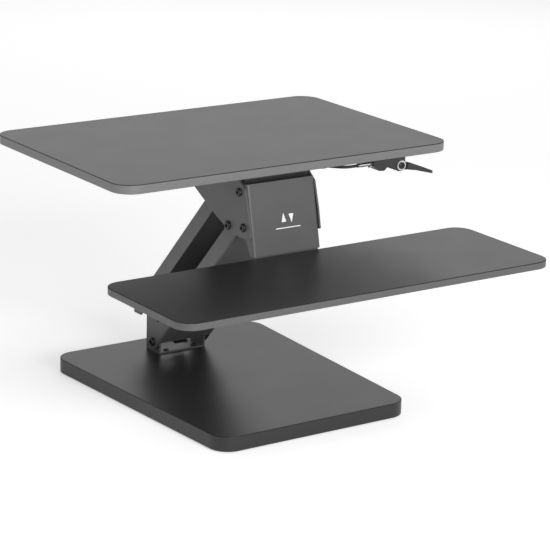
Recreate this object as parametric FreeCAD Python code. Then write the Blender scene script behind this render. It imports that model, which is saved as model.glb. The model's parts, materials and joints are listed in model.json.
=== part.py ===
import FreeCAD, Part
import math
import os

os.makedirs("parts", exist_ok=True)

# A desk-top sit-stand converter: a worktop and a hanging keyboard tray on a parallelogram lift.
# Millimetres. +X is the user's right, +Y is towards the back, +Z is up. The origin is at the
# middle of the footprint, on the surface that the base stands on.

# ------------------------------------------------------------------ driving dimensions
TOP_WIDTH = 640.0
TOP_FRONT = -93.0
TOP_BACK = 327.0
TOP_SURFACE = 434.0
TOP_THICKNESS = 15.0
TOP_CORNER = 34.0

TRAY_WIDTH = 706.0
TRAY_FRONT = -327.0
TRAY_BACK = -86.0
TRAY_SURFACE = 283.0
TRAY_THICKNESS = 12.0
TRAY_CORNER = 30.0

BASE_FRONT_WIDTH = 370.0
BASE_BACK_WIDTH = 417.0
BASE_FRONT = -179.0
BASE_BACK = 324.0
BASE_TOP = 27.0
BASE_CORNER = 34.0
PAD_HEIGHT = 2.0
PAD_RADIUS = 15.0
PAD_INSET = 42.0

BAND = 2.0
ARRIS = 1.0
SHEET = 3.0

# Pivots of the lift in the side view, as (y, z).
LOWER_FRONT = (244.0, 49.0)
LOWER_REAR = (265.0, 128.0)
UPPER_FRONT = (-9.0, 321.0)
UPPER_REAR = (12.0, 400.0)
SHAFT_RADIUS = 5.0
BUSH_RADIUS = 7.0
RUNNING = 0.05
SIDE_GAP = 0.3

LINK_HALF_WIDTH = 54.0
LINK_HALF_DEPTH = 14.0
LINK_SHEET = 2.5
HOOK_LENGTH = 15.0
WEB_OVERRUN = 5.0
SPRING_EYE_WINDOW = 48.0
TAIL_START = -75.0
TAIL_BACK = 307.0
TAIL_BOTTOM = 86.0
BASE_PLATE_OUTER = 47.0
SIDE_PLATE_INNER = 66.0
SIDE_PLATE_OUTER = 69.0

SPRING_TOP = (10.0, 388.0)
LEVER_PIVOT = (219.0, -78.0, 404.0)

# ------------------------------------------------------------------ derived dimensions
TOP_UNDERSIDE = TOP_SURFACE - TOP_THICKNESS
TRAY_UNDERSIDE = TRAY_SURFACE - TRAY_THICKNESS
LINK_LENGTH = math.hypot(UPPER_FRONT[0] - LOWER_FRONT[0], UPPER_FRONT[1] - LOWER_FRONT[1])
LINK_TILT = math.degrees(math.atan2(LOWER_FRONT[0] - UPPER_FRONT[0], UPPER_FRONT[1] - LOWER_FRONT[1]))
LINK_INNER = LINK_HALF_WIDTH - LINK_SHEET
SIDES = (-1, 1)


# ------------------------------------------------------------------ helpers
def vector(x, y, z):
    return FreeCAD.Vector(x, y, z)


def box(x0, x1, y0, y1, z0, z1):
    return Part.makeBox(x1 - x0, y1 - y0, z1 - z0, vector(x0, y0, z0))


def rod_x(x0, x1, centre, radius):
    """Cylinder along X between x0 and x1 on the side-view point centre."""
    low, high = min(x0, x1), max(x0, x1)
    return Part.makeCylinder(radius, high - low, vector(low, centre[0], centre[1]), vector(1, 0, 0))


def ring_x(x0, x1, centre, outer, inner):
    return rod_x(x0, x1, centre, outer).cut(rod_x(x0, x1, centre, inner))


def rod_y(y0, y1, x, z, radius):
    return Part.makeCylinder(radius, y1 - y0, vector(x, y0, z), vector(0, 1, 0))


def rod_z(z0, z1, x, y, radius):
    return Part.makeCylinder(radius, z1 - z0, vector(x, y, z0), vector(0, 0, 1))


def rounded_edges(points, radii, closed=True):
    """Straight runs through 3-D points, with a tangent arc of the given radius at each corner."""
    count = len(points)
    ends = []
    arcs = []
    for i in range(count):
        corner = points[i]
        is_end = not closed and i in (0, count - 1)
        if is_end or radii[i] == 0:
            ends.append((corner, corner))
            arcs.append(None)
            continue
        back = (points[i - 1] - corner).normalize()
        ahead = (points[(i + 1) % count] - corner).normalize()
        half = back.getAngle(ahead) / 2.0
        reach = radii[i] / math.tan(half)
        middle = (back + ahead).normalize()
        first = corner + back * reach
        last = corner + ahead * reach
        top = corner + middle * (radii[i] / math.sin(half) - radii[i])
        ends.append((first, last))
        arcs.append(Part.Arc(first, top, last).toShape())
    edges = []
    for i in range(count):
        if arcs[i]:
            edges.append(arcs[i])
        if i < count - 1 or closed:
            start = ends[i][1]
            stop = ends[(i + 1) % count][0]
            if start.distanceToPoint(stop) > 1e-6:
                edges.append(Part.LineSegment(start, stop).toShape())
    return edges


def plate(points, radii, plane, low, high):
    """Flat plate with a rounded outline; plane is the axis it is extruded along."""
    if not isinstance(radii, (list, tuple)):
        radii = [radii] * len(points)
    if plane == "x":
        corners = [vector(low, a, b) for a, b in points]
        along = vector(high - low, 0, 0)
    elif plane == "y":
        corners = [vector(a, low, b) for a, b in points]
        along = vector(0, high - low, 0)
    else:
        corners = [vector(a, b, low) for a, b in points]
        along = vector(0, 0, high - low)
    wire = Part.Wire(rounded_edges(corners, radii))
    return Part.Face(wire).extrude(along)


def place(shape, position, direction):
    """Move a shape made on +Z from the origin to a position, pointing in a direction."""
    turn = FreeCAD.Rotation(vector(0, 0, 1), vector(*direction))
    moved = shape.copy()
    moved.Placement = FreeCAD.Placement(vector(*position), turn)
    return moved


def hexagon(across_flats, low, high):
    radius = across_flats / math.sqrt(3.0)
    corners = []
    for i in range(6):
        angle = math.radians(60 * i)
        corners.append(vector(radius * math.cos(angle), radius * math.sin(angle), low))
    wire = Part.makePolygon(corners + [corners[0]])
    return Part.Face(wire).extrude(vector(0, 0, high - low))


def button_screw(head_radius, head_height, shank_radius, shank_length):
    """Domed hexagon-socket screw: its head stands on z = 0 and its shank points down."""
    head = Part.makeCylinder(head_radius, head_height)
    crown = [edge for edge in head.Edges if edge.BoundBox.ZMin > head_height - 0.01]
    head = head.makeFillet(head_height * 0.55, crown)
    socket = hexagon(head_radius * 0.8, head_height * 0.35, head_height + 1)
    shank = Part.makeCylinder(shank_radius, shank_length, vector(0, 0, -shank_length))
    return head.cut(socket).fuse(shank).removeSplitter()


def fuse(shapes):
    return shapes[0].multiFuse(shapes[1:]).removeSplitter()


def save(name, *shapes):
    shape = shapes[0] if len(shapes) == 1 else Part.makeCompound(list(shapes))
    shape.exportStep("parts/" + name + ".step")


# ------------------------------------------------------------------ boards
def banded_board(points, corner, low, high):
    """Laminated board with an arrised edge band round it; gives (board, band)."""
    outer = Part.Face(Part.Wire(rounded_edges([vector(x, y, low) for x, y in points], [corner] * 4)))
    inner = outer.makeOffset2D(-BAND)
    height = vector(0, 0, high - low)
    body = outer.extrude(height)
    rims = [edge for edge in body.Edges if edge.BoundBox.ZLength < 0.01]
    core = inner.extrude(height)
    return core, body.makeFillet(ARRIS, rims).cut(core)


def rectangle(half_width, front, back):
    return [(-half_width, front), (half_width, front), (half_width, back), (-half_width, back)]


def inserts_and_screws(spots, face, into, head):
    """Threaded inserts in a board and the screws in them; into is +1 up or -1 down from the face."""
    depth, insert_radius, screw_radius = 10.0, 4.0, 2.5
    holes = []
    sleeves = []
    screws = []
    for x, y in spots:
        low, high = sorted((face, face + into * depth))
        hole = rod_z(low, high, x, y, insert_radius)
        holes.append(hole)
        sleeves.append(hole.cut(rod_z(low, high, x, y, screw_radius)))
        screw = button_screw(4.5, head, screw_radius, SHEET + depth - 2.0)
        screws.append(place(screw, (x, y, face - into * SHEET), (0, 0, -into)))
    return holes, sleeves, screws


TOP_SCREW_SPOTS = [(side * 60.0, y) for side in SIDES for y in (-12.0, 60.0, 120.0, 180.0)]
TRAY_SCREW_SPOTS = [(side * 42.0, y) for side in SIDES for y in (-112.0, -172.0)]
BASE_SCREW_SPOTS = [(side * 28.0, y) for side in SIDES for y in (241.0, 268.0)]

top_holes, top_inserts, top_screws = inserts_and_screws(TOP_SCREW_SPOTS, TOP_UNDERSIDE, 1, 3.0)
tray_holes, tray_inserts, tray_screws = inserts_and_screws(TRAY_SCREW_SPOTS, TRAY_UNDERSIDE, 1, 3.0)
base_holes, base_inserts, base_screws = inserts_and_screws(BASE_SCREW_SPOTS, BASE_TOP, -1, 3.0)

LEVER_SCREW_SPOTS = [(184.0, -60.0), (205.0, -60.0)]
lever_screw_holes = [rod_z(TOP_UNDERSIDE, TOP_UNDERSIDE + 10.0, x, y, 1.75) for x, y in LEVER_SCREW_SPOTS]

top_points = rectangle(TOP_WIDTH / 2, TOP_FRONT, TOP_BACK)
top_board, top_band = banded_board(top_points, TOP_CORNER, TOP_UNDERSIDE, TOP_SURFACE)
save("top_board", top_board.cut(top_holes + lever_screw_holes))
save("top_edge_band", top_band)
save("top_inserts", *top_inserts)
save("upper_bracket_screws", *top_screws)

tray_points = rectangle(TRAY_WIDTH / 2, TRAY_FRONT, TRAY_BACK)
tray_board, tray_band = banded_board(tray_points, TRAY_CORNER, TRAY_UNDERSIDE, TRAY_SURFACE)
save("keyboard_tray", tray_board.cut(tray_holes))
save("tray_edge_band", tray_band)
save("tray_inserts", *tray_inserts)
save("tray_screws", *tray_screws)

base_points = [
    (-BASE_FRONT_WIDTH / 2, BASE_FRONT),
    (BASE_FRONT_WIDTH / 2, BASE_FRONT),
    (BASE_BACK_WIDTH / 2, BASE_BACK),
    (-BASE_BACK_WIDTH / 2, BASE_BACK),
]
base_board, base_band = banded_board(base_points, BASE_CORNER, PAD_HEIGHT, BASE_TOP)
save("base_board", base_board.cut(base_holes))
save("base_edge_band", base_band)
save("base_inserts", *base_inserts)
save("base_bracket_screws", *base_screws)

pads = []
for side in SIDES:
    front_x = side * (BASE_FRONT_WIDTH / 2 - PAD_INSET)
    back_x = side * (BASE_BACK_WIDTH / 2 - PAD_INSET)
    pads.append(rod_z(0, PAD_HEIGHT, front_x, BASE_FRONT + PAD_INSET, PAD_RADIUS))
    pads.append(rod_z(0, PAD_HEIGHT, back_x, BASE_BACK - PAD_INSET, PAD_RADIUS))
save("foot_pads", *pads)


# ------------------------------------------------------------------ base bracket and lower shafts
def make_base_bracket():
    """Folded channel: a floor on the base board and two upright plates that carry both shafts."""
    front, back = 233.0, 276.0
    crown = LOWER_REAR[1] + 10.9
    outline = [
        (front, BASE_TOP),
        (back, BASE_TOP),
        (back, crown),
        (LOWER_REAR[0] - 10.9, crown),
        (front, 62.0),
    ]
    inner = BASE_PLATE_OUTER - SHEET
    corners = [0, 0, 10.8, 10.8, 6.0]
    walls = [plate(outline, corners, "x", side * inner, side * BASE_PLATE_OUTER) for side in SIDES]
    floor = box(-inner, inner, front, back, BASE_TOP, BASE_TOP + SHEET)
    bracket = fuse(walls + [floor])
    cuts = [rod_x(-50, 50, pivot, SHAFT_RADIUS) for pivot in (LOWER_FRONT, LOWER_REAR)]
    cuts += [rod_z(BASE_TOP, BASE_TOP + SHEET, x, y, 2.8) for x, y in BASE_SCREW_SPOTS]
    return bracket.cut(cuts)


def make_lower_shaft(pivot):
    """Through shaft with a screw in each end; gives (shaft, screws)."""
    half = LINK_HALF_WIDTH + SIDE_GAP
    screws = []
    for side in SIDES:
        screw = button_screw(7.5, 4.0, 3.0, 12.0)
        screws.append(place(screw, (side * half, pivot[0], pivot[1]), (side, 0, 0)))
    shaft = rod_x(-half, half, pivot, SHAFT_RADIUS)
    bores = [rod_x(side * half, side * (half - 12.0), pivot, 3.0) for side in SIDES]
    return shaft.cut(bores), screws


save("base_bracket", make_base_bracket())
front_shaft, front_shaft_screws = make_lower_shaft(LOWER_FRONT)
rear_shaft, rear_shaft_screws = make_lower_shaft(LOWER_REAR)
save("lower_front_shaft", front_shaft)
save("lower_rear_shaft", rear_shaft)
save("lower_shaft_screws", *(front_shaft_screws + rear_shaft_screws))


# ------------------------------------------------------------------ links
def channel_section(web_side):
    """Outline of the folded channel in (x, depth), open on the side away from the web."""
    w, d, t = LINK_HALF_WIDTH, LINK_HALF_DEPTH, LINK_SHEET
    web, lip = web_side * d, -web_side * d
    inner = web_side * (d - t)
    outer_face = [(-w, lip), (-w, web), (w, web), (w, lip)]
    inner_face = [(w - t, lip), (w - t, inner), (-w + t, inner), (-w + t, lip)]
    return outer_face + inner_face, [0, 4.0, 4.0, 0, 0, 1.5, 1.5, 0]


def make_link(pivot, web_side, start, web_start, web_end):
    """Channel link in its rest pose; start and web ends are measured along it from its lower pivot."""
    end = LINK_LENGTH + LINK_HALF_DEPTH
    points, radii = channel_section(web_side)
    channel = plate(points, radii, "z", start, end)
    depth = LINK_HALF_DEPTH
    low_round = 13.0 if start == -LINK_HALF_DEPTH else 0
    outline = [(-depth, start), (depth, start), (depth, end), (-depth, end)]
    envelope = plate(outline, [low_round, low_round, 13.0, 13.0], "x", -LINK_HALF_WIDTH, LINK_HALF_WIDTH)
    link = channel.common(envelope)
    web_low, web_high = sorted((web_side * (depth + 1), web_side * (depth - LINK_SHEET - 1.6)))
    link = link.cut(box(-LINK_INNER, LINK_INNER, web_low, web_high, web_end, end + 1))
    if web_start > start:
        link = link.cut(box(-LINK_INNER, LINK_INNER, web_low, web_high, start - 1, web_start))
    for along in (0, LINK_LENGTH):
        link = link.cut(rod_x(-60, 60, (0, along), BUSH_RADIUS))
    link.Placement = FreeCAD.Placement(
        vector(0, pivot[0], pivot[1]), FreeCAD.Rotation(vector(1, 0, 0), LINK_TILT)
    )
    return link


def make_bushes(lower, upper):
    """Flanged bushes in the four flange holes of a link."""
    bore = SHAFT_RADIUS + RUNNING
    bushes = []
    for side in SIDES:
        for pivot, collar_end in ((lower, BASE_PLATE_OUTER + SIDE_GAP), (upper, LINK_INNER - 2.5)):
            barrel = ring_x(side * LINK_INNER, side * LINK_HALF_WIDTH, pivot, BUSH_RADIUS, bore)
            collar = ring_x(side * collar_end, side * LINK_INNER, pivot, 9.0, bore)
            bushes.append(barrel.fuse(collar).removeSplitter())
    return bushes


save("front_link", make_link(LOWER_FRONT, -1, -LINK_HALF_DEPTH, HOOK_LENGTH, LINK_LENGTH + WEB_OVERRUN))
save("front_link_bushes", *make_bushes(LOWER_FRONT, UPPER_FRONT))


def make_rear_link():
    """Rear link with its tail trimmed upright behind and level below."""
    link = make_link(LOWER_REAR, 1, TAIL_START, TAIL_START, LINK_LENGTH - SPRING_EYE_WINDOW)
    behind_tail = box(-60, 60, TAIL_BACK, TAIL_BACK + 60, 0, 140)
    below_tail = box(-60, 60, 200, 400, 0, TAIL_BOTTOM)
    return link.cut([behind_tail, below_tail])


save("rear_link", make_rear_link())
save("rear_link_bushes", *make_bushes(LOWER_REAR, UPPER_REAR))


# ------------------------------------------------------------------ upper bracket and pivots
UPPER_BOLT = (-39.0, 383.0)
LOWER_BOLT = (-53.0, 327.0)
BOLT_RADIUS = 3.0
CABLE_PASS = (-27.0, 407.5)
CABLE_PASS_RADIUS = 6.5
SIDE_OUTLINE = [
    (-75.0, 313.0),
    (-59.0, 309.5),
    (-42.0, 309.0),
    (0.0, 317.0),
    (39.0, 334.0),
    (93.0, 362.0),
    (200.0, 414.0),
    (200.0, TOP_UNDERSIDE),
    (-40.0, TOP_UNDERSIDE),
    (-40.0, 401.0),
    (-47.0, 396.0),
    (-55.0, 390.0),
    (-68.0, 346.0),
]
SIDE_CORNERS = [2.0, 4.0, 10.0, 20.0, 0, 0, 0, 0, 0, 2.0, 2.0, 2.0, 10.0]


def make_upper_bracket():
    """Two side plates and the top plate that is screwed under the worktop."""
    walls = []
    for side in SIDES:
        low, high = sorted((side * SIDE_PLATE_INNER, side * SIDE_PLATE_OUTER))
        walls.append(plate(SIDE_OUTLINE, SIDE_CORNERS, "x", low, high))
    roof = box(-SIDE_PLATE_INNER, SIDE_PLATE_INNER, -43.0, 200.0, TOP_UNDERSIDE - SHEET, TOP_UNDERSIDE)
    bracket = fuse(walls + [roof])
    cuts = [rod_x(-80, 80, UPPER_FRONT, SHAFT_RADIUS)]
    cuts += [rod_x(-80, 80, bolt, BOLT_RADIUS) for bolt in (UPPER_BOLT, LOWER_BOLT)]
    cuts += [rod_z(TOP_UNDERSIDE - SHEET, TOP_UNDERSIDE, x, y, 2.8) for x, y in TOP_SCREW_SPOTS]
    cuts.append(rod_x(60, 80, CABLE_PASS, CABLE_PASS_RADIUS))
    return bracket.cut(cuts)


def make_pivot_pins(pivot, outer_end, headed):
    pins = []
    for side in SIDES:
        pin = rod_x(side * 46.6, side * outer_end, pivot, SHAFT_RADIUS)
        if headed:
            head = button_screw(7.5, 4.0, SHAFT_RADIUS, 1.0)
            pin = pin.fuse(place(head, (side * outer_end, pivot[0], pivot[1]), (side, 0, 0))).removeSplitter()
        pins.append(pin)
    return pins


def pair_rings(pivots, inner_end, outer_end, outer, inner):
    return [ring_x(side * inner_end, side * outer_end, p, outer, inner) for side in SIDES for p in pivots]


UPPER_PIVOTS = (UPPER_FRONT, UPPER_REAR)
save("upper_bracket", make_upper_bracket())
save("upper_front_pins", *make_pivot_pins(UPPER_FRONT, SIDE_PLATE_OUTER, True))
save("upper_rear_pins", *make_pivot_pins(UPPER_REAR, SIDE_PLATE_INNER, False))
spacer_start = LINK_HALF_WIDTH + SIDE_GAP
save("pivot_spacers", *pair_rings(UPPER_PIVOTS, spacer_start, SIDE_PLATE_INNER, 8.0, SHAFT_RADIUS))
save("pivot_clips", *pair_rings(UPPER_PIVOTS, 47.5, 48.5, 8.0, SHAFT_RADIUS))

CROSSBAR_BACK = -40.0
save("front_crossbar", box(-62.7, 62.7, CROSSBAR_BACK - SHEET, CROSSBAR_BACK, 390.0, TOP_UNDERSIDE - SHEET))


# ------------------------------------------------------------------ front bracket that hangs the tray
FACE_TOP = (-55.0, 398.0)
FACE_BOTTOM = (-80.5, 283.0)
FACE_BEND = 5.0
HANGER_HALF = 60.0
HANGER_FRONT = -190.0


def make_front_bracket():
    """Leaning face plate with folded sides, and a shelf under the tray that it turns forward into."""
    half = SIDE_PLATE_INNER
    back_edge = [(-71.0, 283.0), (-57.0, 306.0), (-42.0, 317.0), (-25.0, 342.0), (-25.0, 398.0)]
    sides = [FACE_TOP, FACE_BOTTOM] + back_edge
    block = plate(sides, [0, 0, 0, 10.0, 10.0, 10.0, 4.0], "x", -half, half)
    long_edges = []
    for edge in block.Edges:
        if edge.BoundBox.XLength < 0.01 and edge.BoundBox.ZLength > 110 and edge.BoundBox.YMin < -70:
            long_edges.append(edge)
    block = block.makeFillet(FACE_BEND, long_edges)
    hollow = [
        (FACE_TOP[0] + SHEET + 2.2, 410.0),
        (FACE_BOTTOM[0] + SHEET - 2.2, 273.0),
        (0.0, 273.0),
        (0.0, 410.0),
    ]
    shell = block.cut(plate(hollow, 0, "x", -half + SHEET, half - SHEET))
    foot_back = FACE_BOTTOM[0] + SHEET
    shelf_low = TRAY_UNDERSIDE - SHEET
    riser = box(-HANGER_HALF, HANGER_HALF, FACE_BOTTOM[0], foot_back, shelf_low, FACE_BOTTOM[1] + 1)
    shelf = box(-HANGER_HALF, HANGER_HALF, HANGER_FRONT, foot_back, shelf_low, TRAY_UNDERSIDE)
    bracket = fuse([shell, riser, shelf])
    cuts = [rod_x(-80, 80, bolt, BOLT_RADIUS) for bolt in (UPPER_BOLT, LOWER_BOLT)]
    cuts += [rod_z(TRAY_UNDERSIDE - SHEET, TRAY_UNDERSIDE, x, y, 2.8) for x, y in TRAY_SCREW_SPOTS]
    return bracket.cut(cuts)


def make_bracket_fasteners():
    """Bolts through the side plates and the folded sides, and the nuts behind them."""
    bolts = []
    nuts = []
    nut_outer = SIDE_PLATE_INNER - SHEET
    for side in SIDES:
        for y, z in (UPPER_BOLT, LOWER_BOLT):
            bolt = button_screw(7.0, 4.0, BOLT_RADIUS, 12.5)
            bolts.append(place(bolt, (side * SIDE_PLATE_OUTER, y, z), (side, 0, 0)))
            nut = hexagon(10.0, 0, 5.0).cut(Part.makeCylinder(BOLT_RADIUS, 5.0))
            nuts.append(place(nut, (side * nut_outer, y, z), (-side, 0, 0)))
    return bolts, nuts


def make_emblem():
    """Plain printed mark: an arrow up and an arrow down side by side over a bar, on the face plate."""
    lift, width = 0.25, 9.0
    marks = []
    for x, way in ((-7.5, 1), (7.5, -1)):
        base, tip = -6.0 * way, 9.0 * way
        arrow = [(x - width / 2, base), (x + width / 2, base), (x, tip)]
        if way < 0:
            arrow.reverse()
        marks.append(plate(arrow, 0.4, "y", -lift, 0))
    marks.append(plate([(-24.0, -16.5), (24.0, -16.5), (24.0, -15.0), (-24.0, -15.0)], 0, "y", -lift, 0))
    lean = math.degrees(math.atan2(FACE_TOP[0] - FACE_BOTTOM[0], FACE_TOP[1] - FACE_BOTTOM[1]))
    height = 338.0
    share = (height - FACE_BOTTOM[1]) / (FACE_TOP[1] - FACE_BOTTOM[1])
    face_y = FACE_BOTTOM[0] + share * (FACE_TOP[0] - FACE_BOTTOM[0])
    for mark in marks:
        mark.Placement = FreeCAD.Placement(
            vector(6.0, face_y, height), FreeCAD.Rotation(vector(1, 0, 0), -lean)
        )
    return marks


save("front_bracket", make_front_bracket())
bolts, nuts = make_bracket_fasteners()
save("bracket_bolts", *bolts)
save("bracket_nuts", *nuts)
save("face_emblem", *make_emblem())


# ------------------------------------------------------------------ gas spring on the diagonal
SPRING_VECTOR = (0.0, SPRING_TOP[0] - LOWER_FRONT[0], SPRING_TOP[1] - LOWER_FRONT[1])
SPRING_LENGTH = math.hypot(SPRING_VECTOR[1], SPRING_VECTOR[2])
TUBE_RADIUS = 11.0
TUBE_BORE = 9.5
TUBE_START = 20.0
TUBE_END = 245.0
PISTON = (186.0, 194.0)
ROD_RADIUS = 5.0
EYE_HALF = 9.0
TOP_PIN_RADIUS = 4.0


def on_spring(shape):
    """Stand a shape made along +Z from the lower eye on the line of the spring."""
    return place(shape, (0, LOWER_FRONT[0], LOWER_FRONT[1]), SPRING_VECTOR)


def make_eye(centre, bore, neck_low, neck_high, neck_radius):
    ring = rod_x(-EYE_HALF, EYE_HALF, (0, centre), TUBE_RADIUS)
    neck = rod_z(neck_low, neck_high, 0, 0, neck_radius)
    return ring.fuse(neck).cut(rod_x(-20, 20, (0, centre), bore)).removeSplitter()


tube = rod_z(TUBE_START, TUBE_END, 0, 0, TUBE_RADIUS).cut(rod_z(TUBE_START + 4, TUBE_END, 0, 0, TUBE_BORE))
guide = rod_z(TUBE_END - 12, TUBE_END, 0, 0, TUBE_BORE).fuse(rod_z(TUBE_END, TUBE_END + 4, 0, 0, TUBE_RADIUS))
guide = guide.cut(rod_z(TUBE_END - 12, TUBE_END + 4, 0, 0, ROD_RADIUS + RUNNING)).removeSplitter()
rod_end = SPRING_LENGTH - 19.0
save("spring_tube", on_spring(tube))
save("spring_guide", on_spring(guide))
save("spring_lower_eye", on_spring(make_eye(0, SHAFT_RADIUS + RUNNING, 8.0, TUBE_START, 8.0)))
save("spring_piston", on_spring(rod_z(PISTON[0], PISTON[1], 0, 0, TUBE_BORE - RUNNING)))
save("spring_rod", on_spring(rod_z(PISTON[1], rod_end, 0, 0, ROD_RADIUS)))
save("spring_top_eye", on_spring(make_eye(SPRING_LENGTH, TOP_PIN_RADIUS, rod_end, SPRING_LENGTH - 8, 7.5)))
save("spring_top_pin", rod_x(-13.5, 13.5, SPRING_TOP, TOP_PIN_RADIUS))

LUG_INNER = 14.0
lug_outline = [(-6.0, 413.0), (-6.0, 384.0), (2.0, 375.0), (18.0, 375.0), (26.0, 384.0), (26.0, 413.0)]
WING_OUTER = 32.0
lug_hole = rod_x(-20, 20, SPRING_TOP, TOP_PIN_RADIUS + 1.0)
wing_low = TOP_UNDERSIDE - 2 * SHEET
brackets = []
for side in SIDES:
    lug = plate(lug_outline, [0, 4, 4, 4, 4, 0], "x", side * LUG_INNER, side * (LUG_INNER + SHEET))
    low, high = sorted((side * LUG_INNER, side * WING_OUTER))
    wing = box(low, high, -6.0, 26.0, wing_low, wing_low + SHEET)
    brackets.append(lug.fuse(wing).removeSplitter().cut(lug_hole))
save("spring_top_mount", *brackets)

# ------------------------------------------------------------------ cable release
ROCKER_PIVOT = (0.0, -26.0, 398.0)
ROCKER_PIN_RADIUS = 2.5
CABLE_RADIUS = 2.5
CABLE_HEIGHT = 411.0
CABLE_END = (18.0, -26.0, 407.0)
ADJUSTER_END = (136.0, -78.0, CABLE_HEIGHT)
CABLE_ROUTE = [
    ADJUSTER_END,
    (112.0, -78.0, CABLE_HEIGHT),
    (92.0, -58.0, CABLE_HEIGHT),
    (86.0, -36.0, 409.0),
    (66.0, -24.5, 407.0),
    (42.0, -26.0, 407.0),
    CABLE_END,
]
WALL_FRONT = (-36.0, -33.5)
WALL_BACK = (-18.5, -16.0)


def corner_radii(points):
    """Largest gentle arc at each corner: 0.45 of its shorter run over the tangent of half its turn."""
    radii = [0.0]
    for before, corner, after in zip(points, points[1:], points[2:]):
        turn = (corner - before).getAngle(after - corner)
        shorter = min((corner - before).Length, (after - corner).Length)
        radii.append(0.45 * shorter / math.tan(turn / 2))
    return radii + [0.0]


def make_cable():
    """Round sheath swept along the route from the adjuster to its stop on the release bracket."""
    points = [vector(*point) for point in CABLE_ROUTE]
    path = Part.Wire(rounded_edges(points, corner_radii(points), closed=False))
    start = Part.Wire(Part.makeCircle(CABLE_RADIUS, points[0], points[1] - points[0]))
    return path.makePipeShell([start], True, False)


def make_release_bracket():
    """Small clevis under the top plate that holds the rocker and stops the cable's sheath."""
    half, low = 12.0, 390.0
    roof = TOP_UNDERSIDE - SHEET
    walls = [box(-half, half, y0, y1, low, roof) for y0, y1 in (WALL_FRONT, WALL_BACK)]
    top = box(-half, 20.5, WALL_FRONT[0], WALL_BACK[1], roof - 2.5, roof)
    stop = box(18.0, 20.5, WALL_FRONT[0], WALL_BACK[1], 400.0, roof)
    clevis = fuse(walls + [top, stop])
    bores = [
        rod_y(WALL_FRONT[0], WALL_BACK[1], ROCKER_PIVOT[0], ROCKER_PIVOT[2], ROCKER_PIN_RADIUS),
        Part.makeCylinder(CABLE_RADIUS, 3.0, vector(17.9, CABLE_END[1], CABLE_END[2]), vector(1, 0, 0)),
    ]
    return clevis.cut(bores)


def make_rocker():
    """Bell crank: the cable pulls its upper arm and its lower arm presses the valve of the spring."""
    outline = [(-4.0, 411.0), (-4.5, 398.0), (-6.0, 385.0), (0.0, 383.0), (5.0, 398.0), (3.0, 411.0)]
    x0 = ROCKER_PIVOT[0]
    crank = plate([(x0 + x, z) for x, z in outline], 2.0, "y", -31.0, -21.0)
    return crank.cut(rod_y(-40, -10, x0, ROCKER_PIVOT[2], ROCKER_PIN_RADIUS + RUNNING))


cable = make_cable()
save("release_cable", cable)
save("release_bracket", make_release_bracket())
save("release_rocker", make_rocker())
rocker_x, rocker_z = ROCKER_PIVOT[0], ROCKER_PIVOT[2]
save("rocker_pin", rod_y(WALL_FRONT[0] - 1.0, WALL_BACK[1] + 1.0, rocker_x, rocker_z, ROCKER_PIN_RADIUS))

CLIP_X, CLIP_Y = 88.5, -47.0
CLIP_HALF_LENGTH, CLIP_HALF_WIDTH = 5.0, 4.0
clip = box(
    CLIP_X - CLIP_HALF_LENGTH,
    CLIP_X + CLIP_HALF_LENGTH,
    CLIP_Y - CLIP_HALF_WIDTH,
    CLIP_Y + CLIP_HALF_WIDTH,
    CABLE_HEIGHT - 5.0,
    TOP_UNDERSIDE,
)
save("cable_clip", clip.cut(cable))

# ------------------------------------------------------------------ release lever
HUB_X, HUB_Y, HUB_Z = LEVER_PIVOT
EAR_FRONT = -88.0
EAR_BACK = -66.0
EAR = 3.0
HUB_RADIUS = 8.5
LEVER_PIN_RADIUS = 3.0
LEVER_WASHER = 0.8
LEVER_HUB_BACK = -72.0
NIPPLE_RADIUS = 2.0
NIPPLE_X = 208.5
HOUSING_LEFT = 162.0
THREAD_STOP = 2.0
HOUSING_RIGHT = 226.5
PADDLE_FRONT = -91.0
PADDLE_BACK = -63.0
PADDLE_TIP = 289.0
ADJUSTER_RADIUS = 3.5
SLOT_START = 192.0
WIRE_RADIUS = 0.8
WIRE_BORE = 1.5


def make_lever_housing():
    """Moulded clevis under the right-hand end of the worktop; the cable adjuster screws into its left."""
    outline = [
        (HOUSING_LEFT, TOP_UNDERSIDE),
        (HOUSING_LEFT, 409.0),
        (172.0, 400.0),
        (184.0, 399.0),
        (190.0, 404.5),
        (205.0, 398.0),
        (214.0, 394.5),
        (222.0, 394.5),
        (HOUSING_RIGHT, 404.0),
        (HOUSING_RIGHT, TOP_UNDERSIDE),
    ]
    body = plate(outline, [0, 3, 8, 3, 3, 6, 6, 4, 3, 0], "y", EAR_FRONT, EAR_BACK)
    foot = box(174.0, 215.0, EAR_BACK, -53.0, TOP_UNDERSIDE - SHEET, TOP_UNDERSIDE)
    body = body.fuse(foot).removeSplitter()
    slot = box(SLOT_START, 240.0, EAR_FRONT + EAR, EAR_BACK - EAR, 380.0, 417.0)
    cuts = [
        slot,
        rod_y(-95, -60, HUB_X, HUB_Z, LEVER_PIN_RADIUS),
        Part.makeCylinder(ADJUSTER_RADIUS, 12.0, vector(HOUSING_LEFT, HUB_Y, CABLE_HEIGHT), vector(1, 0, 0)),
        Part.makeCylinder(WIRE_BORE, 40.0, vector(HOUSING_LEFT, HUB_Y, CABLE_HEIGHT), vector(1, 0, 0)),
    ]
    cuts += [rod_z(TOP_UNDERSIDE - SHEET, TOP_UNDERSIDE, x, y, 1.75) for x, y in LEVER_SCREW_SPOTS]
    return body.cut(cuts)


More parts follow.
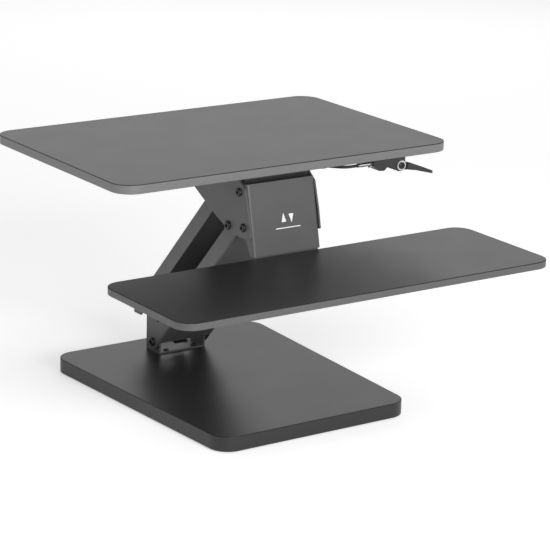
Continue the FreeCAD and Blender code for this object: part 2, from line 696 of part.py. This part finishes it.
def make_lever():
    """Hub between the ears, a short arm that pulls the wire, and a tapering paddle for the fingers."""
    y0, y1 = EAR_FRONT + EAR + SIDE_GAP, LEVER_HUB_BACK
    hub = rod_y(y0, y1, HUB_X, HUB_Z, HUB_RADIUS)
    arm = plate([(213.0, 399.0), (219.0, 411.0), (209.0, 415.5), (204.0, 413.0)], [2, 0, 2, 2], "y", y0, y1)
    neck = plate([(219.0, 412.0), (219.0, 395.8), (236.0, 394.5), (236.0, 405.5)], [0, 0, 0, 0], "y", y0, y1)
    paddle_outline = [
        (233.0, 406.6),
        (232.0, 395.2),
        (248.0, 393.0),
        (285.0, 383.0),
        (PADDLE_TIP, 384.8),
        (286.0, 387.3),
        (256.0, 399.5),
    ]
    paddle = plate(paddle_outline, [3, 3, 40, 1.4, 1.4, 1.4, 60], "y", PADDLE_FRONT, PADDLE_BACK)
    plan = [
        (231.0, -87.0),
        (252.0, PADDLE_FRONT),
        (PADDLE_TIP, PADDLE_FRONT),
        (PADDLE_TIP, PADDLE_BACK),
        (252.0, PADDLE_BACK),
        (231.0, -70.0),
    ]
    paddle = paddle.common(plate(plan, [0, 30, 12, 12, 30, 0], "z", 375.0, 412.0))
    lever = fuse([hub, arm, neck, paddle])
    nipple_seat = rod_y(y0 - 1, y1 + 1, NIPPLE_X, CABLE_HEIGHT, NIPPLE_RADIUS)
    return lever.cut([rod_y(-95, -60, HUB_X, HUB_Z, LEVER_PIN_RADIUS + RUNNING), nipple_seat])


save("lever_housing", make_lever_housing())
save("release_lever", make_lever())
nipple = rod_y(EAR_FRONT + EAR + SIDE_GAP, LEVER_HUB_BACK, NIPPLE_X, CABLE_HEIGHT, NIPPLE_RADIUS)
save("cable_nipple", nipple)

washer_front = EAR_FRONT - LEVER_WASHER
pin = button_screw(5.8, 2.4, LEVER_PIN_RADIUS, EAR_BACK - washer_front + 1.0)
save("lever_pin", place(pin, (HUB_X, washer_front, HUB_Z), (0, -1, 0)))
washer = rod_y(washer_front, EAR_FRONT, HUB_X, HUB_Z, HUB_RADIUS)
save("lever_washer", washer.cut(rod_y(washer_front, EAR_FRONT, HUB_X, HUB_Z, LEVER_PIN_RADIUS)))

coils = []
for i in range(2):
    y = LEVER_HUB_BACK + 0.8 + 1.25 * i
    coils.append(Part.makeTorus(4.2, 0.6, vector(HUB_X, y, HUB_Z), vector(0, 1, 0)))
save("lever_return_spring", *coils)


def make_adjuster():
    """Threaded sleeve: grooves round its free length stand for the thread; the wire runs through it."""
    start = ADJUSTER_END[0]
    groove_pitch, groove_radius = 1.5, 0.45
    sleeve = Part.makeCylinder(ADJUSTER_RADIUS, 38.0, vector(*ADJUSTER_END), vector(1, 0, 0))
    x = start + 4.0
    while x < HOUSING_LEFT - THREAD_STOP:
        centre = vector(x, HUB_Y, CABLE_HEIGHT)
        sleeve = sleeve.cut(Part.makeTorus(ADJUSTER_RADIUS + 0.15, groove_radius, centre, vector(1, 0, 0)))
        x += groove_pitch
    bore = Part.makeCylinder(WIRE_BORE, 40.0, vector(start - 1, HUB_Y, CABLE_HEIGHT), vector(1, 0, 0))
    return sleeve.cut(bore)


save("cable_adjuster", make_adjuster())
nut = hexagon(11.0, 0, 3.0).cut(Part.makeCylinder(ADJUSTER_RADIUS, 3.0))
save("adjuster_nut", place(nut, (HOUSING_LEFT, HUB_Y, CABLE_HEIGHT), (-1, 0, 0)))
wire_end = 202.0
wire = Part.makeCylinder(WIRE_RADIUS, wire_end - ADJUSTER_END[0], vector(*ADJUSTER_END), vector(1, 0, 0))
save("release_wire", wire)

screws = []
for x, y in LEVER_SCREW_SPOTS:
    screws.append(place(button_screw(3.2, 2.0, 1.75, 12.0), (x, y, TOP_UNDERSIDE - SHEET), (0, 0, -1)))
save("lever_housing_screws", *screws)
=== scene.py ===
import json
import math
import bpy
from mathutils import Matrix, Vector


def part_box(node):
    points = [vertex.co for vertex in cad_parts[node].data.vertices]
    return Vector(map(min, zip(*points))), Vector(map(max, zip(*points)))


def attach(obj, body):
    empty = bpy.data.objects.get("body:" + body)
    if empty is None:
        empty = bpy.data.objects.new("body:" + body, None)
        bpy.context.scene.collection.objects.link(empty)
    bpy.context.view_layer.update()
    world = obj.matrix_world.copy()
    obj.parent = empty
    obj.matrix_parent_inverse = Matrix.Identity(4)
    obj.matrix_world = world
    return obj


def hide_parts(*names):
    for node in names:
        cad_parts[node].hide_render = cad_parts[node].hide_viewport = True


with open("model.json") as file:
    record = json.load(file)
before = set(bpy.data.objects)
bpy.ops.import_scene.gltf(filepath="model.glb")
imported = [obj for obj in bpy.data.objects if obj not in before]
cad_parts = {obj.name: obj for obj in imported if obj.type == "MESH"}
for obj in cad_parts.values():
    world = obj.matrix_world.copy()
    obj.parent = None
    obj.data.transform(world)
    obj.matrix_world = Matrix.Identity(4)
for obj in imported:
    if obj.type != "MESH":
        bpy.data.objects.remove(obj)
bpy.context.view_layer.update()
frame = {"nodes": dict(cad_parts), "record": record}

scene = bpy.context.scene

# Camera: where it stands (metres), where it looks, and its lens on a 36 mm sensor.
CAMERA_PLACE = Vector((-2.1313, -3.1235, 1.3393))
CAMERA_AZIMUTH = math.radians(-34.73)
CAMERA_ELEVATION = math.radians(16.42)
CAMERA_ROLL = math.radians(1.53)
CAMERA_LENS = 156.34
CAMERA_SHIFT = (-0.0017, 0.0003)
SENSOR_WIDTH = 36.0
VIEW_DEPTH = 120.0

FLOOR_HALF = 40.0
FLOOR_GREY = 0.93
FLOOR_GLOW = 0.41
SURROUND_STRENGTH = 0.42

# Softboxes: name, place (metres), size (metres), power (watts). All of them aim at LIGHT_CENTRE.
LIGHT_CENTRE = (0.0, 0.0, 0.25)
SOFTBOXES = (
    ("softbox_front", (-0.3, -3.3, 1.5), (1.8, 1.4), 104.0),
    ("softbox_left", (-3.0, -0.4, 1.7), (1.2, 1.4), 10.0),
    ("softbox_back", (2.2, 3.2, 1.7), (3.2, 1.6), 12.5),
)

# Greys of the three edge bands, and the height of the dark glue line at their top edge (metres). The
# bands are one PVC banding given three greys as painted light and shade: the top band lightest, the
# tray band darker, and the base band darkest as painted shade under the tray.
TOP_BAND_PAINTED_LIGHT_GREY = 0.14
TRAY_BAND_PAINTED_SHADE_GREY = 0.07
BASE_BAND_PAINTED_SHADE_GREY = 0.012
GLUE_LINE = 0.0013
GLUE_GREY = 0.006


# ------------------------------------------------------------------ camera, floor and light
def make_camera():
    back = Vector((
        math.sin(CAMERA_AZIMUTH) * math.cos(CAMERA_ELEVATION),
        -math.cos(CAMERA_AZIMUTH) * math.cos(CAMERA_ELEVATION),
        math.sin(CAMERA_ELEVATION),
    ))
    level = Vector((math.cos(CAMERA_AZIMUTH), math.sin(CAMERA_AZIMUTH), 0.0))
    upright = back.cross(level)
    right = level * math.cos(CAMERA_ROLL) + upright * math.sin(CAMERA_ROLL)
    up = upright * math.cos(CAMERA_ROLL) - level * math.sin(CAMERA_ROLL)
    data = bpy.data.cameras.new("camera")
    data.lens = CAMERA_LENS
    data.sensor_width = SENSOR_WIDTH
    data.shift_x, data.shift_y = CAMERA_SHIFT
    data.clip_end = VIEW_DEPTH
    camera = bpy.data.objects.new("camera", data)
    scene.collection.objects.link(camera)
    turn = Matrix((right, up, back)).transposed().to_4x4()
    camera.matrix_world = Matrix.Translation(CAMERA_PLACE) @ turn
    scene.camera = camera


def make_floor():
    half = FLOOR_HALF
    mesh = bpy.data.meshes.new("floor")
    corners = [(-half, -half, 0), (half, -half, 0), (half, half, 0), (-half, half, 0)]
    mesh.from_pydata(corners, [], [(0, 1, 2, 3)])
    floor = bpy.data.objects.new("floor", mesh)
    scene.collection.objects.link(floor)
    material = new_material("floor_paper")
    shader = material.node_tree.nodes["Principled BSDF"]
    shader.inputs["Base Color"].default_value = (FLOOR_GREY, FLOOR_GREY, FLOOR_GREY, 1)
    shader.inputs["Roughness"].default_value = 0.9
    shader.inputs["Specular IOR Level"].default_value = 0.1
    shader.inputs["Emission Color"].default_value = (1, 1, 1, 1)
    shader.inputs["Emission Strength"].default_value = FLOOR_GLOW
    mesh.materials.append(material)


def area_light(name, place, size, power):
    data = bpy.data.lights.new(name, "AREA")
    data.shape = "RECTANGLE"
    data.size, data.size_y = size
    data.energy = power
    light = bpy.data.objects.new(name, data)
    scene.collection.objects.link(light)
    light.location = place
    aim = Vector(LIGHT_CENTRE) - Vector(place)
    light.rotation_euler = aim.to_track_quat("-Z", "Y").to_euler()


def make_light():
    world = bpy.data.worlds.new("studio")
    world.use_nodes = True
    background = world.node_tree.nodes["Background"]
    background.inputs["Color"].default_value = (1, 1, 1, 1)
    background.inputs["Strength"].default_value = SURROUND_STRENGTH
    scene.world = world
    for name, place, size, power in SOFTBOXES:
        area_light(name, place, size, power)
    scene.view_settings.view_transform = "Standard"


# ------------------------------------------------------------------ material helpers
def new_material(name):
    material = bpy.data.materials.new(name)
    material.use_nodes = True
    return material


class Nodes:
    """Small helper for building a node tree on a principled shader."""

    def __init__(self, name, roughness=0.5, metallic=0.0):
        self.material = new_material(name)
        self.tree = self.material.node_tree
        self.shader = self.tree.nodes["Principled BSDF"]
        self.shader.inputs["Roughness"].default_value = roughness
        self.shader.inputs["Metallic"].default_value = metallic
        self.place = self.tree.nodes.new("ShaderNodeTexCoord").outputs["Object"]

    def link(self, source, target):
        self.tree.links.new(source, target)

    def noise(self, scale, detail=3.0, stretch=None):
        vector = self.place
        if stretch:
            mapping = self.tree.nodes.new("ShaderNodeMapping")
            mapping.inputs["Scale"].default_value = stretch
            self.link(vector, mapping.inputs["Vector"])
            vector = mapping.outputs["Vector"]
        node = self.tree.nodes.new("ShaderNodeTexNoise")
        node.inputs["Scale"].default_value = scale
        node.inputs["Detail"].default_value = detail
        self.link(vector, node.inputs["Vector"])
        return node.outputs["Fac"]

    def ramp(self, factor, low, high, start=0.3, end=0.7):
        """Map a factor to a blend of two colours."""
        node = self.tree.nodes.new("ShaderNodeValToRGB")
        node.color_ramp.elements[0].position = start
        node.color_ramp.elements[0].color = (*low, 1)
        node.color_ramp.elements[1].position = end
        node.color_ramp.elements[1].color = (*high, 1)
        self.link(factor, node.inputs["Fac"])
        return node.outputs["Color"]

    def colour(self, factor, low, high, start=0.3, end=0.7):
        self.link(self.ramp(factor, low, high, start, end), self.shader.inputs["Base Color"])

    def above(self, height, blend):
        """0 below a height in the piece's own Z, 1 from the height plus blend upwards."""
        split = self.tree.nodes.new("ShaderNodeSeparateXYZ")
        self.link(self.place, split.inputs["Vector"])
        node = self.tree.nodes.new("ShaderNodeMapRange")
        node.inputs["From Min"].default_value = height
        node.inputs["From Max"].default_value = height + blend
        self.link(split.outputs["Z"], node.inputs["Value"])
        return node.outputs["Result"]

    def colour_over(self, factor, colour):
        """Lay a colour over the present base colour where the factor is 1."""
        target = self.shader.inputs["Base Color"]
        mix = self.tree.nodes.new("ShaderNodeMix")
        mix.data_type = "RGBA"
        self.link(target.links[0].from_socket, mix.inputs[6])
        mix.inputs[7].default_value = (*colour, 1)
        self.link(factor, mix.inputs[0])
        self.link(mix.outputs[2], target)

    def roughness(self, factor, low, high):
        node = self.tree.nodes.new("ShaderNodeMapRange")
        node.inputs["From Min"].default_value = 0.3
        node.inputs["From Max"].default_value = 0.7
        node.inputs["To Min"].default_value = low
        node.inputs["To Max"].default_value = high
        self.link(factor, node.inputs["Value"])
        self.link(node.outputs["Result"], self.shader.inputs["Roughness"])

    def bump(self, height, distance, strength=1.0, edge=0.0):
        """Bump from a height, on edges softened over a small radius."""
        node = self.tree.nodes.new("ShaderNodeBump")
        node.inputs["Distance"].default_value = distance
        node.inputs["Strength"].default_value = strength
        self.link(height, node.inputs["Height"])
        if edge:
            bevel = self.tree.nodes.new("ShaderNodeBevel")
            bevel.inputs["Radius"].default_value = edge
            self.link(bevel.outputs["Normal"], node.inputs["Normal"])
        self.link(node.outputs["Normal"], self.shader.inputs["Normal"])


def grey(value):
    return (value, value, value)


# ------------------------------------------------------------------ materials
def laminate():
    """Black melamine face with a fine pearl grain."""
    n = Nodes("melamine")
    grain = n.noise(1900.0, 2.0)
    cloud = n.noise(14.0, 4.0)
    n.colour(grain, grey(0.009), grey(0.016))
    n.roughness(cloud, 0.37, 0.39)
    n.bump(grain, 0.00006, 0.5)
    n.shader.inputs["Specular IOR Level"].default_value = 0.8
    return n.material


def edge_band(node, painted_light_and_shade_tone):
    """Smooth PVC banding: faint drawn lines, and the dark glue line where it meets the laminate. Its
    grey, passed in per band, is painted light and shade.
    """
    n = Nodes(node + "_pvc_painted_light_and_shade")
    lines = n.noise(60.0, 3.0, stretch=(1.0, 1.0, 40.0))
    n.colour(lines, grey(painted_light_and_shade_tone * 0.92), grey(painted_light_and_shade_tone * 1.08))
    n.roughness(lines, 0.38, 0.44)
    n.bump(n.noise(900.0, 2.0), 0.00004, 0.4)
    top = max(corner[2] for corner in frame["nodes"][node].bound_box)
    n.colour_over(n.above(top - GLUE_LINE, GLUE_LINE / 4), grey(GLUE_GREY))
    return n.material


def powder_coat(name="powder_coat", low=0.072, high=0.084):
    """Satin powder coat: very fine orange peel over folded sheet steel, edges rounded by the coat."""
    n = Nodes(name)
    n.colour(n.noise(9.0, 4.0), grey(low), grey(high))
    n.roughness(n.noise(30.0, 4.0), 0.42, 0.50)
    n.bump(n.noise(1300.0, 2.0), 0.00008, 0.5, edge=0.0007)
    n.shader.inputs["Specular IOR Level"].default_value = 0.5
    return n.material


def black_oxide():
    """Blackened steel screw, mottled, with softened rims."""
    n = Nodes("black_oxide", metallic=0.55)
    n.colour(n.noise(400.0, 3.0), grey(0.018), grey(0.035))
    n.roughness(n.noise(700.0, 2.0), 0.24, 0.36)
    n.bump(n.noise(1500.0, 2.0), 0.00003, 0.4, edge=0.0004)
    return n.material


def turned_steel():
    """Zinc-plated turned steel."""
    n = Nodes("zinc_steel", metallic=1.0)
    n.colour(n.noise(200.0, 3.0), grey(0.50), grey(0.62))
    n.roughness(n.noise(500.0, 2.0, stretch=(8.0, 1.0, 1.0)), 0.22, 0.34)
    n.bump(n.noise(900.0, 2.0), 0.00003, 0.3, edge=0.0002)
    return n.material


def hard_chrome():
    n = Nodes("ground_rod", metallic=1.0)
    n.colour(n.noise(80.0, 2.0), grey(0.60), grey(0.66))
    n.roughness(n.noise(300.0, 2.0), 0.06, 0.11)
    return n.material


def gloss_black():
    n = Nodes("spring_enamel")
    n.colour(n.noise(20.0, 3.0), grey(0.008), grey(0.013))
    n.roughness(n.noise(40.0, 3.0), 0.16, 0.24)
    n.bump(n.noise(500.0, 2.0), 0.00005, 0.3)
    n.shader.inputs["Coat Weight"].default_value = 0.4
    return n.material


def brass():
    n = Nodes("turned_brass", metallic=1.0)
    n.colour(n.noise(150.0, 2.0), (0.58, 0.42, 0.19), (0.68, 0.52, 0.27))
    n.roughness(n.noise(300.0, 2.0), 0.28, 0.40)
    return n.material


def acetal():
    n = Nodes("acetal")
    n.colour(n.noise(60.0, 2.0), grey(0.020), grey(0.030))
    n.roughness(n.noise(200.0, 2.0), 0.36, 0.44)
    return n.material


def rubber():
    n = Nodes("rubber")
    n.colour(n.noise(300.0, 3.0), grey(0.010), grey(0.018))
    n.roughness(n.noise(120.0, 3.0), 0.62, 0.78)
    n.bump(n.noise(1100.0, 2.0), 0.00012, 0.5)
    return n.material


def moulded_nylon():
    """Spark-eroded texture of a moulded black part, a little shinier in scattered patches."""
    n = Nodes("moulded_nylon")
    n.colour(n.noise(500.0, 3.0), grey(0.010), grey(0.019))
    n.roughness(n.noise(45.0, 3.0), 0.34, 0.50)
    n.bump(n.noise(1700.0, 2.0), 0.0001, 0.5, edge=0.0005)
    return n.material


def print_white():
    n = Nodes("pad_print")
    n.colour(n.noise(700.0, 2.0), grey(0.74), grey(0.82))
    n.roughness(n.noise(300.0, 2.0), 0.45, 0.6)
    return n.material


SLOT_MATERIALS = {
    "laminate": laminate,
    "bracket_paint": powder_coat,
    "black_fasteners": black_oxide,
    "steel": turned_steel,
    "spring_chrome": hard_chrome,
    "spring_paint": gloss_black,
    "inserts": brass,
    "bushes": acetal,
    "rubber": rubber,
    "plastic": moulded_nylon,
    "mark": print_white,
}


def dress_cad_nodes():
    """Give every CAD node its slot's material, or its own; gives the materials by slot. The edge
    bands' and the front crossbar's own greys are painted light and shade.
    """
    made = {slot: make() for slot, make in SLOT_MATERIALS.items()}
    own = {
        # The three band greys are one PVC banding in painted light and shade.
        "top_edge_band": edge_band("top_edge_band", TOP_BAND_PAINTED_LIGHT_GREY),
        "tray_edge_band": edge_band("tray_edge_band", TRAY_BAND_PAINTED_SHADE_GREY),
        "base_edge_band": edge_band("base_edge_band", BASE_BAND_PAINTED_SHADE_GREY),
        # The front crossbar gets the bracket coat darkened to near black as painted shade, for the
        # shadow it sits in.
        "front_crossbar": powder_coat("crossbar_painted_shade_coat", 0.012, 0.018),
    }
    for row in frame["record"]["subparts"]:
        piece = frame["nodes"][row["node"]]
        piece.data.materials.clear()
        piece.data.materials.append(own.get(row["node"]) or made[row["material_slot"]])
    return made


# ------------------------------------------------------------------ pieces made here
def tube_along(name, points, radius, material):
    """Round wire through the given points."""
    curve = bpy.data.curves.new(name, "CURVE")
    curve.dimensions = "3D"
    curve.bevel_depth = radius
    curve.bevel_resolution = 4
    curve.use_fill_caps = True
    spline = curve.splines.new("POLY")
    spline.points.add(len(points) - 1)
    for point, place in zip(spline.points, points):
        point.co = (*place, 1.0)
    curve.materials.append(material)
    piece = bpy.data.objects.new(name, curve)
    scene.collection.objects.link(piece)
    return piece


def make_return_spring(material):
    """Close-wound torsion spring round the lever's pin, in place of the CAD's plain rings."""
    low, high = (Vector(corner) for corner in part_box("lever_return_spring"))
    centre = (low + high) / 2
    wire = 0.00042
    radius = (high.x - low.x) / 2 - wire
    length = high.y - low.y - 2 * wire
    turns, steps = 2.5, 24
    count = int(turns * steps)
    points = []
    for i in range(count + 1):
        angle = 2 * math.pi * i / steps
        y = low.y + wire + length * i / count
        points.append((centre.x + radius * math.cos(angle), y, centre.z + radius * math.sin(angle)))
    spring = tube_along("return_spring_coil", points, wire, material)
    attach(spring, "platform")
    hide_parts("lever_return_spring")


make_camera()
make_floor()
make_light()
materials = dress_cad_nodes()
make_return_spring(materials["steel"])
